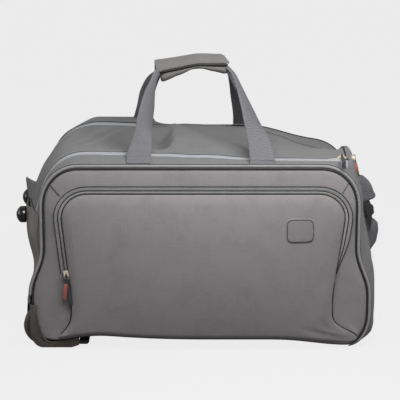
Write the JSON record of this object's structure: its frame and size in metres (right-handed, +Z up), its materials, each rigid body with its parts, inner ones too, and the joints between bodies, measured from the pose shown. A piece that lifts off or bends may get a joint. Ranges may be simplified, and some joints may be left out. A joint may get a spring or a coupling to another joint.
{
  "type": "rolling duffel bag",
  "caption": "Soft rolling duffel bag with zip-open lid, front pocket, wrapped carry handles, end grab handle, corner wheels and a telescopic pull handle in its floor.",
  "frame": {"origin": "floor point below the middle of the bounding box", "axes": "+X to the end with the pull handle, +Y to the rear panel, +Z up"},
  "size_m": [0.6006, 0.318, 0.4634],
  "materials": {
    "body_fabric": "woven polyester, matt greenish grey",
    "panel_fabric": "padded woven polyester, matt warm grey",
    "piping": "woven piping over a cord",
    "board": "black corrugated board",
    "zip_tape": "woven zip tape and welt",
    "patch": "plain smooth patch",
    "webbing": "ribbed webbing, cool grey",
    "wrap_fabric": "padded wrap of woven polyester",
    "end_patch": "coarse reinforcing cloth",
    "gloss_black": "glossy black moulding",
    "housing_plastic": "fine textured dark grey moulding",
    "black_plastic": "black moulding",
    "steel": "bright steel",
    "tube_aluminium": "drawn aluminium tube",
    "rubber": "black rubber",
    "tyre": "dark rubber tread",
    "slider_metal": "pale gold lacquered zinc",
    "pull_dark": "dark cord pull"
  },
  "bodies": {
    "bag": {"gusset_shell": "body_fabric", "front_panel": "panel_fabric", "rear_panel": "panel_fabric", "front_piping": "piping", "rear_piping": "piping", "base_board": "board", "main_zip_chain": "zip_tape", "pocket_panel": "panel_fabric", "pocket_zip_chain": "zip_tape", "blank_patch": "patch", "strap_anchors": "webbing", "grab_handle": "webbing", "left_end_patch": "end_patch", "end_feet": "gloss_black", "wheel_housing_front": "housing_plastic", "wheel_housing_rear": "housing_plastic", "axle_front": "steel", "axle_rear": "steel", "housing_bumpers": "rubber", "base_runners": "rubber", "trolley_outer_tubes": "tube_aluminium", "outer_tube_collars": "black_plastic", "trolley_base_bracket": "black_plastic", "trolley_bezel": "housing_plastic"},
    "lid": {"lid_panel": "body_fabric", "lid_zip_chain": "zip_tape", "lid_tab": "webbing"},
    "front_handle": {"front_strap": "webbing", "handle_wrap": "wrap_fabric"},
    "rear_handle": {"rear_strap": "webbing"},
    "wheel_front": {"tyre_front": "tyre", "hub_front": "housing_plastic", "bearings_front": "steel"},
    "wheel_rear": {"tyre_rear": "tyre", "hub_rear": "housing_plastic", "bearings_rear": "steel"},
    "trolley_mid": {"mid_tubes": "tube_aluminium", "mid_collars": "black_plastic"},
    "trolley_top": {"inner_tubes": "tube_aluminium", "tube_plugs": "black_plastic", "grip_body": "black_plastic", "grip_cover": "black_plastic", "button_spring": "steel"},
    "trolley_button": {"release_button": "housing_plastic", "push_rods": "steel"},
    "zip_slider_front": {"main_slider_front": "slider_metal"},
    "zip_pull_front": {"main_pull_front": "pull_dark"},
    "zip_slider_end": {"main_slider_end": "slider_metal"},
    "zip_pull_end": {"main_pull_end": "pull_dark"},
    "pocket_zip_slider": {"pocket_slider": "slider_metal"},
    "pocket_zip_pull": {"pocket_pull": "pull_dark"}
  },
  "joints": [
    {"name": "lid_open", "type": "hinge", "parent": "bag", "child": "lid", "pos_m": [-0.283, 0.005, 0.217], "axis": [0, -1, 0], "range_deg": [0, 65]},
    {"name": "front_handle_fold", "type": "hinge", "parent": "bag", "child": "front_handle", "pos_m": [0, -0.123, 0.3134], "axis": [1, 0, 0], "range_deg": [0, 143]},
    {"name": "rear_handle_fold", "type": "hinge", "parent": "bag", "child": "rear_handle", "pos_m": [0, 0.133, 0.3134], "axis": [-1, 0, 0], "range_deg": [0, 143]},
    {"name": "wheel_front_spin", "type": "hinge", "parent": "bag", "child": "wheel_front", "pos_m": [-0.253, -0.115, 0.0325], "axis": [0, 1, 0], "continuous": true},
    {"name": "wheel_rear_spin", "type": "hinge", "parent": "bag", "child": "wheel_rear", "pos_m": [-0.253, 0.125, 0.0325], "axis": [0, 1, 0], "continuous": true},
    {"name": "pull_handle_lower", "type": "slide", "parent": "bag", "child": "trolley_mid", "axis": [1, 0, 0], "range_m": [0, 0.285]},
    {"name": "pull_handle_upper", "type": "slide", "parent": "trolley_mid", "child": "trolley_top", "axis": [1, 0, 0], "range_m": [0, 0.285]},
    {"name": "release_press", "type": "slide", "parent": "trolley_top", "child": "trolley_button", "axis": [-1, 0, 0], "range_m": [0, 0.004], "stiffness_N_per_m": 400, "deforming": ["button_spring"]},
    {"name": "zip_slide_front", "type": "slide", "parent": "bag", "child": "zip_slider_front", "axis": [-0.9995, 0, 0.0307], "range_m": [0, 0.1]},
    {"name": "zip_pull_front_swing", "type": "hinge", "parent": "zip_slider_front", "child": "zip_pull_front", "pos_m": [0.2262, -0.0993, 0.31002], "axis": [-0.9995, 0, 0.0307], "range_deg": [0, 80]},
    {"name": "zip_slide_end", "type": "slide", "parent": "bag", "child": "zip_slider_end", "axis": [0, 1, 0], "range_m": [0, 0.17]},
    {"name": "zip_pull_end_swing", "type": "hinge", "parent": "zip_slider_end", "child": "zip_pull_end", "pos_m": [0.24775, -0.081, 0.30513], "axis": [0, -1, 0], "range_deg": [0, 90]},
    {"name": "pocket_zip_slide", "type": "slide", "parent": "bag", "child": "pocket_zip_slider", "axis": [-0.128, 0, 0.9918], "range_m": [0, 0.075]},
    {"name": "pocket_pull_swing", "type": "hinge", "parent": "pocket_zip_slider", "child": "pocket_zip_pull", "pos_m": [-0.21276, -0.15715, 0.128], "axis": [-0.9918, 0, -0.128], "range_deg": [0, 90]}
  ],
  "couplings": [
    {"joint": "front_handle_fold", "follows": "lid_open", "ratio": 2.2},
    {"joint": "rear_handle_fold", "follows": "lid_open", "ratio": 2.2}
  ]
}
